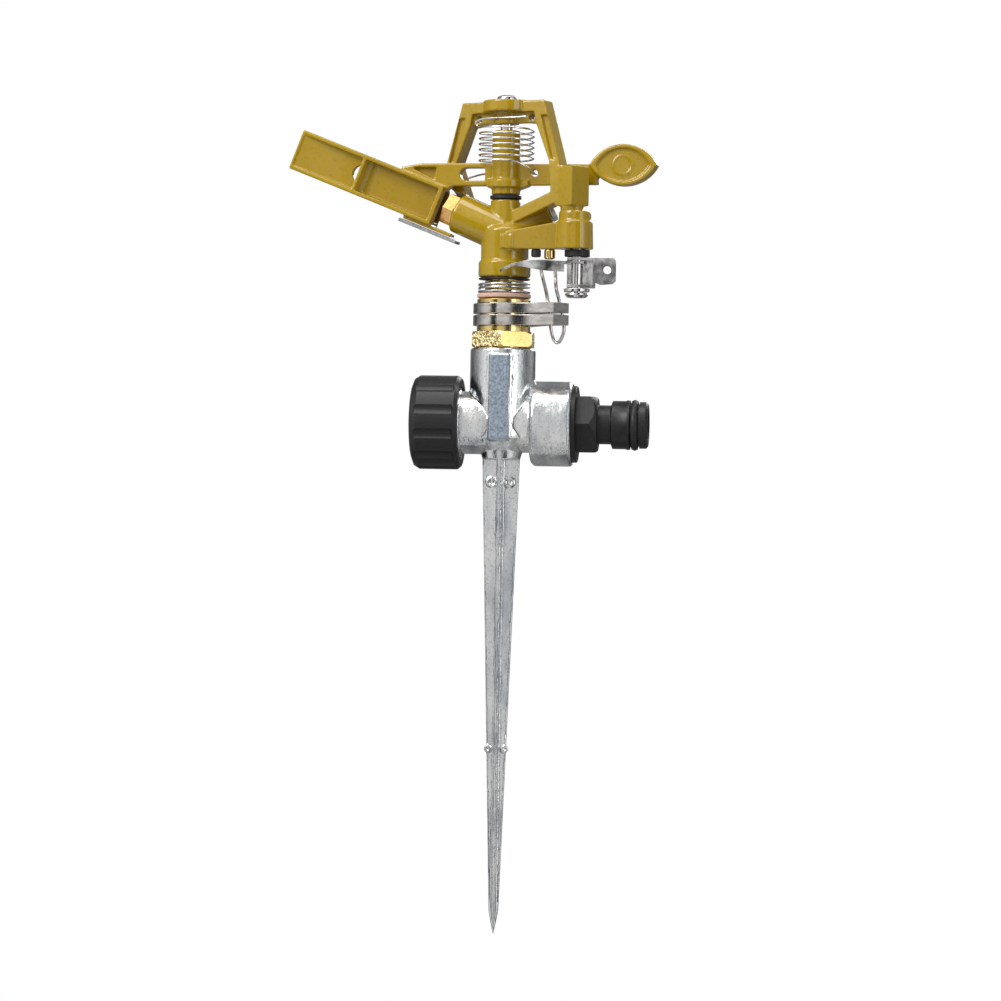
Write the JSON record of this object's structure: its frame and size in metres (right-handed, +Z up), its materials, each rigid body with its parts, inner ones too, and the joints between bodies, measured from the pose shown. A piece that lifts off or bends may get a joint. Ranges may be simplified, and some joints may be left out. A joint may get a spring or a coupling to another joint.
{
  "type": "impact sprinkler",
  "caption": "Impact sprinkler on a metal ground spike, with a hose inlet, an end cap, trip collars and a sprung arm.",
  "frame": {"origin": "on the sprinkler's vertical axis, level with the top of the spike, at the soil line", "axes": "+Z up along the vertical axis, +X towards the hose inlet, -X towards the end cap"},
  "size_m": [0.1315, 0.0344, 0.2936],
  "materials": {
    "paint": "gloss mustard enamel",
    "zinc": "bright as-cast zinc alloy, lightly speckled",
    "brass": "bright machined brass",
    "steel": "polished stainless steel",
    "black_plastic": "satin moulded plastic",
    "rubber": "matte",
    "fibre": "matte pink fibre washer"
  },
  "bodies": {
    "base": {"base_casting": "zinc", "hose_adapter": "black_plastic", "adapter_gasket": "rubber", "nose_o_ring": "rubber", "bearing_nipple": "brass"},
    "cap_gasket": {"cap_gasket": "rubber"},
    "cap": {"end_cap": "black_plastic"},
    "collar_lower": {"collar_lower": "steel"},
    "collar_upper": {"collar_upper": "steel"},
    "head": {"fibre_washer": "fibre", "steel_washer": "steel", "bearing_spring": "steel", "seal_washer": "rubber", "bearing_sleeve": "brass", "sleeve_seal": "rubber", "head_casting": "paint", "main_nozzle": "brass", "rear_plug": "steel", "pivot_pin": "steel", "arm_lower_washer": "rubber", "arm_spring": "steel", "shaft_bush": "rubber", "trip_post": "brass", "trip_bumper": "rubber"},
    "arm": {"impact_arm": "paint", "arm_bush": "brass", "wear_strip": "steel"},
    "trip": {"trip_shaft": "steel", "shaft_washer": "steel", "trip_clamp": "steel", "trip_blade": "steel", "trip_wire": "steel"}
  },
  "joints": [
    {"name": "head_spin", "type": "hinge", "parent": "base", "child": "head", "pos_m": [0, 0, 0.06], "axis": [0, 0, 1], "range_deg": [0, 300]},
    {"name": "arm_swing", "type": "hinge", "parent": "head", "child": "arm", "pos_m": [0, 0, 0.1], "axis": [0, 0, 1], "range_deg": [0, 110], "stiffness_Nm_per_rad": 0.02, "springref_deg": -28.65, "deforming": ["arm_spring"]},
    {"name": "trip_flip", "type": "hinge", "parent": "head", "child": "trip", "pos_m": [0.02621, -0.00948, 0], "axis": [0, 0, 1], "range_deg": [0, 8]},
    {"name": "collar_lower_turn", "type": "hinge", "parent": "base", "child": "collar_lower", "pos_m": [0, 0, 0.0487], "axis": [0, 0, 1], "range_deg": [-180, 0]},
    {"name": "collar_upper_turn", "type": "hinge", "parent": "base", "child": "collar_upper", "pos_m": [0, 0, 0.0528], "axis": [0, 0, 1], "range_deg": [-180, 0]},
    {"name": "cap_slide", "type": "slide", "parent": "base", "child": "cap_gasket", "axis": [-1, 0, 0], "range_m": [0, 0.0109]},
    {"name": "cap_turn", "type": "hinge", "parent": "cap_gasket", "child": "cap", "pos_m": [0, 0, 0.013], "axis": [-1, 0, 0], "range_deg": [0, 2160]}
  ],
  "couplings": [
    {"joint": "cap_slide", "follows": "cap_turn", "m_per_rad": 0.00028871}
  ]
}
